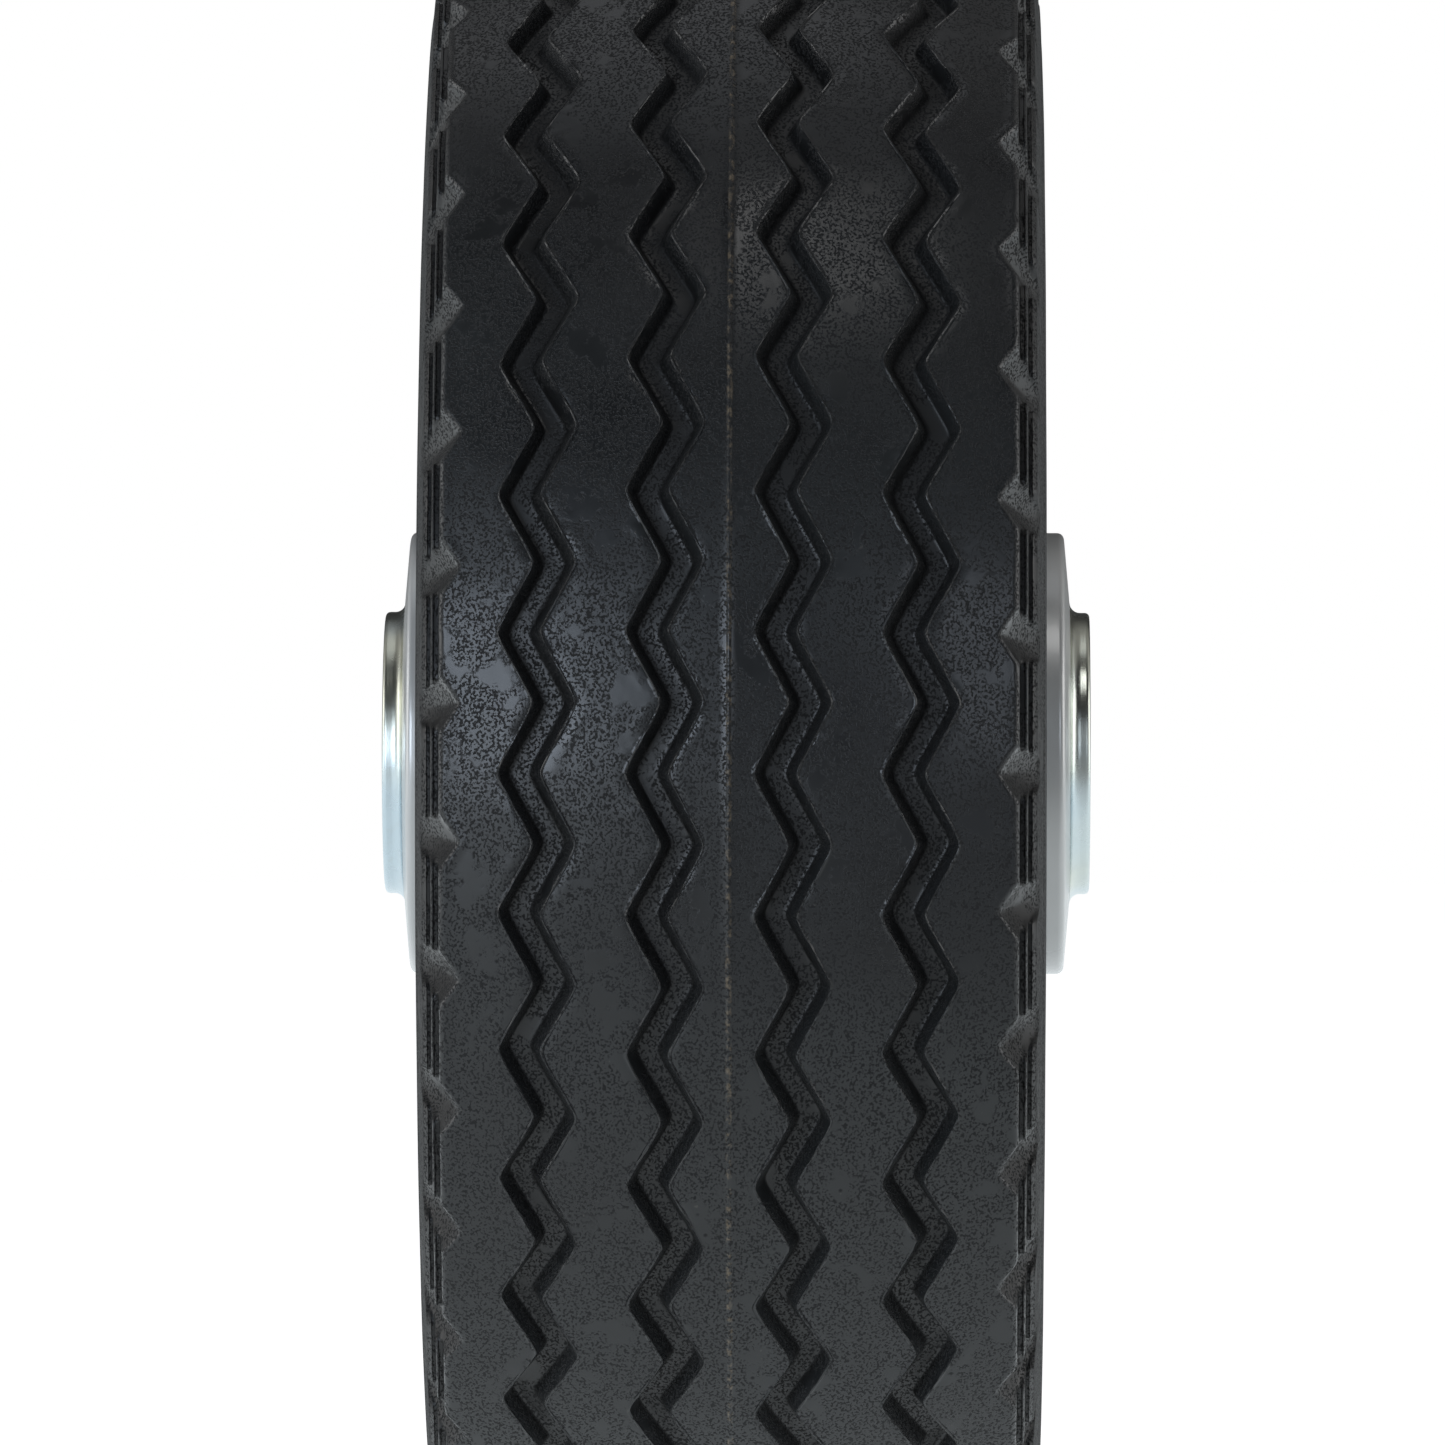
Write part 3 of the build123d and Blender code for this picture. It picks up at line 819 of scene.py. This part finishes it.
def spring_washer_mesh():
    """A split square-section ring whose ends spread a little."""
    inner, outer, thick, edge = 4.15, 7.3, 1.9, 0.18
    section = [
        (inner, edge), (inner + edge, 0), (outer - edge, 0), (outer, edge),
        (outer, thick - edge), (outer - edge, thick), (inner + edge, thick), (inner, thick - edge),
    ]
    count, gap, spread, slant = 72, math.radians(11), 0.045, 0.10
    middle = WASHER_LOW + 0.06
    points, faces = [], []
    for j in range(count + 1):
        f = j / count
        angle = gap / 2 + (2 * math.pi - gap) * f
        for r, h in section:
            turn = angle + slant * (h / thick - 0.5)
            y = middle + h + spread * (2 * f - 1)
            points.append((r * math.cos(turn), y, r * math.sin(turn)))
    n = len(section)
    for j in range(count):
        a, b = j * n, (j + 1) * n
        faces += [(a + k, b + k, b + (k + 1) % n, a + (k + 1) % n) for k in range(n)]
    faces += [tuple(range(n)), tuple(count * n + k for k in range(n))[::-1]]
    return points, faces


def on_bolt_circle(mesh, turns):
    """Copies of a mesh on the bolt circle, each turned on its own axis by its own angle."""
    points, faces = mesh
    x, y, z = np.asarray(points).T
    copies = []
    for i, turn in enumerate(turns):
        angle = math.radians(FIRST_BOLT_DEG + 360 / BOLTS * i)
        own = math.radians(turn)
        out_x = BOLT_CIRCLE * math.cos(angle) + x * math.cos(own) - z * math.sin(own)
        out_z = BOLT_CIRCLE * math.sin(angle) + x * math.sin(own) + z * math.cos(own)
        copies.append((np.stack([out_x, y, out_z], axis=1), faces))
    return copies


def make_fasteners(material):
    """The four bolts, spring washers and nuts that clamp the rim halves."""
    for name, node, mesh, turns in (
        ("bolt_set", "rim_bolts", bolt_mesh(), BOLT_TURNS),
        ("nut_set", "rim_nuts", nut_mesh(), NUT_TURNS),
        ("spring_washer_set", "rim_spring_washers", spring_washer_mesh(), WASHER_TURNS),
    ):
        obj = join(name, on_bolt_circle(mesh, turns), material, "fastener", "wheel")
        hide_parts(node)


# ---------------------------------------------------------------- bearings and spacer


def make_seal(side, where, material):
    """A moulded bearing seal: raised outer bead, dished face and a thin lip on the inner ring's land."""
    node = f"bearing_seal_{where}_{side}"
    low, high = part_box(node)
    near, far = sorted((abs(low[1]) / MM, abs(high[1]) / MM))
    face_y, inward = (far, -1) if where == "outer" else (near, 1)
    hole, rim = 10.9, high[0] / MM
    # (radius, depth behind the face)
    section = [
        (rim, 0.10), (rim - 0.15, 0.0), (rim - 0.55, 0.0), (rim - 0.75, 0.16), (rim - 1.0, 0.22),
        (hole + 1.35, 0.22), (hole + 1.15, 0.10), (hole + 0.95, 0.04), (hole + 0.55, 0.04),
        (hole + 0.35, 0.18), (hole + 0.02, 0.34), (hole + 0.02, 0.62), (hole + 0.4, 0.85), (rim, 0.85),
    ]
    outline = [(r, face_y + inward * depth) for r, depth in section]
    seal = lathe(f"seal_face_{where}_{side}", outline, material, "seal", "wheel", 128, SIDES[side])
    sharpen(seal, 30)
    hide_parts(node)


def make_spacer(material):
    """The spacer tube between the inner rings, with rounded ends."""
    bore, end, edge = 8.0, BEARING_IN, 0.4
    corners = [(bore, -end, edge), (SPACER_RADIUS, -end, edge), (SPACER_RADIUS, end, edge), (bore, end, edge)]
    spacer = lathe("spacer_sleeve", rounded(corners, 4), material, "zinc", "axle_core", 96)
    sharpen(spacer, 40)
    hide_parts("spacer_tube")


def keep_node(name, material):
    """Gives a carried-over CAD node a procedural material."""
    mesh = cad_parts[name].data
    mesh.materials.clear()
    mesh.materials.append(material)


# ---------------------------------------------------------------- stage, lights and camera


def stage_material():
    """Very pale matt floor.

    It glows as painted light, like a lit table: brightly under and behind the wheel, dimly in front of it and
    less dimly at the front left. Seen directly it is near white, with a painted shadow: a soft darker pool
    under the wheel.
    """
    m = Nodes("studio_floor")
    x, y = m.axis("X"), m.axis("Y")
    # Painted light: for light reaching the wheel, the floor glows brightest under and behind it and at the
    # front left.
    glow = m.remap(x, 0.08, 0.42, 0.95, 0.03)
    left_glow = m.math("MULTIPLY", m.remap(y, 0.00, -0.18, 0.0, 0.70), m.remap(x, 0.12, 0.30))
    glow = m.math("ADD", glow, left_glow)
    distance = m.add("ShaderNodeVectorMath", operation="LENGTH")
    m.link(m.coords, distance.inputs[0])
    # Painted shadow: seen directly, the floor glows less near the wheel, a soft darker pool in place of its
    # shadow.
    direct = m.remap(distance.outputs["Value"], 0.18, 0.75, 0.50, 0.95)
    seen = m.add("ShaderNodeLightPath").outputs["Is Camera Ray"]
    m.set(Base_Color=m.mix(m.noise(2.5, 3, 0.5), (0.48, 0.48, 0.48), (0.52, 0.52, 0.52)), Roughness=0.9)
    m.set(Emission_Color=m.mix(seen, (0.90, 0.97, 1.0), (1.0, 1.0, 1.0)))
    m.set(Emission_Strength=m.blend(seen, glow, direct))
    return m.material


def make_floor():
    """A pale floor under the tyre."""
    size, below = 14.0, -TYRE_RADIUS * MM
    mesh = bpy.data.meshes.new("studio_floor")
    corners = [(-size, -size, below), (size, -size, below), (size, size, below), (-size, size, below)]
    mesh.from_pydata(corners, [], [(0, 1, 2, 3)])
    mesh.materials.append(stage_material())
    floor = bpy.data.objects.new("studio_floor", mesh)
    bpy.context.scene.collection.objects.link(floor)


def area_light(name, place, size, power, colour):
    """A soft rectangular light aimed at the wheel's centre."""
    data = bpy.data.lights.new(name, "AREA")
    data.shape = "RECTANGLE"
    data.size, data.size_y = size
    data.energy = power
    data.color = colour
    light = bpy.data.objects.new(name, data)
    light.location = place
    light.rotation_mode = "QUATERNION"
    light.rotation_quaternion = (-Vector(place)).to_track_quat("-Z", "Y")
    bpy.context.scene.collection.objects.link(light)


def make_world():
    """Surroundings bright at the sides and rear, dimmer straight behind, in front and overhead.

    Seen directly they are white.
    """
    world = bpy.data.worlds.new("studio")
    world.use_nodes = True
    tree = world.node_tree
    background = tree.nodes["Background"]
    output = tree.nodes["World Output"]
    split = tree.nodes.new("ShaderNodeSeparateXYZ")
    tree.links.new(tree.nodes.new("ShaderNodeTexCoord").outputs["Generated"], split.inputs[0])

    def ramp(socket, low, high, to_low, to_high):
        node = tree.nodes.new("ShaderNodeMapRange")
        node.interpolation_type = "SMOOTHSTEP"
        for name, number in zip(RANGE_SOCKETS, (low, high, to_low, to_high)):
            node.inputs[name].default_value = number
        tree.links.new(split.outputs[socket], node.inputs["Value"])
        return node.outputs["Result"]

    def product(a, b):
        node = tree.nodes.new("ShaderNodeMath")
        node.operation = "MULTIPLY"
        tree.links.new(a, node.inputs[0])
        tree.links.new(b, node.inputs[1])
        return node.outputs[0]

    front = ramp("X", -0.20, 0.25, 0.60, 0.032)
    straight_behind = ramp("X", -0.85, -0.45, 0.05, 1.0)
    ceiling = ramp("Z", 0.30, 0.80, 1.0, 0.45)
    strength = product(product(front, straight_behind), ceiling)
    tree.links.new(strength, background.inputs["Strength"])
    direct = tree.nodes.new("ShaderNodeBackground")
    choose = tree.nodes.new("ShaderNodeMixShader")
    tree.links.new(tree.nodes.new("ShaderNodeLightPath").outputs["Is Camera Ray"], choose.inputs["Fac"])
    for shader, socket in ((background, choose.inputs[1]), (direct, choose.inputs[2])):
        shader.inputs["Color"].default_value = (1, 1, 1, 1)
        tree.links.new(shader.outputs["Background"], socket)
    tree.links.new(choose.outputs["Shader"], output.inputs["Surface"])
    bpy.context.scene.world = world


def make_camera():
    """A long lens in front of the tread, with the hub a little right of and below the middle."""
    view_width, sensor = 0.2055477, 36.0  # metres across the picture at the axle, and millimetres
    distance = 18 * TYRE_RADIUS * MM
    side_turn, roll = math.radians(0.53), math.radians(0.09)
    aim = Vector((0, -0.00213, 0.00434))
    data = bpy.data.cameras.new("camera")
    data.sensor_width = sensor
    data.lens = distance * sensor / view_width
    data.clip_end = 100
    camera = bpy.data.objects.new("camera", data)
    camera.location = (distance * math.cos(side_turn), distance * math.sin(side_turn), 0)
    camera.rotation_mode = "QUATERNION"
    camera.rotation_quaternion = (aim - camera.location).to_track_quat("-Z", "Y")
    camera.rotation_quaternion @= Matrix.Rotation(roll, 3, "Z").to_quaternion()
    bpy.context.scene.collection.objects.link(camera)
    bpy.context.scene.camera = camera


WHITE = (1, 1, 1)
# Every light: its name, its place, its width and height, its watts and its colour.
LIGHTS = [
    ("key", (2.15, -1.17, 0.35), (1.40, 0.95), 24.5, (0.76, 0.86, 1.0)),
    ("fill", (2.2, 1.00, 0.50), (0.50, 0.9), 4.4, (0.80, 0.88, 1.0)),
    ("overhead", (0.74, 0.17, 1.40), (0.36, 0.40), 1.5, WHITE),
    ("above_behind", (-0.25, -0.15, 1.7), (0.9, 0.9), 1.4, (0.90, 0.94, 1.0)),
    ("left", (0.1, -1.6, 0.2), (1.0, 1.4), 9, WHITE),
    ("right", (0.1, 1.6, 0.2), (1.0, 1.4), 9, WHITE),
]


# ---------------------------------------------------------------- the whole scene

rubber = rubber_material()
coating = rim_material()
zinc = zinc_material("zinc_plate", 0.24, (0.60, 0.65, 0.65))
fastener_zinc = zinc_material("fastener_zinc", 0.30, (0.58, 0.60, 0.60))
bearing_steel = ground_steel_material()
seal_rubber = seal_material()

make_tyre(rubber)
for side in SIDES:
    make_rim_half(side, coating)
    make_weld(side, zinc)
make_hub(zinc)
make_fasteners(fastener_zinc)
make_spacer(zinc)
for side in SIDES:
    for part in ("outer_ring", "inner_ring", "balls", "cage"):
        keep_node(f"bearing_{part}_{side}", bearing_steel)
    for where in ("outer", "inner"):
        make_seal(side, where, seal_rubber)

make_floor()
make_world()
for light in LIGHTS:
    area_light(*light)
make_camera()
bpy.context.scene.view_settings.view_transform = "Standard"
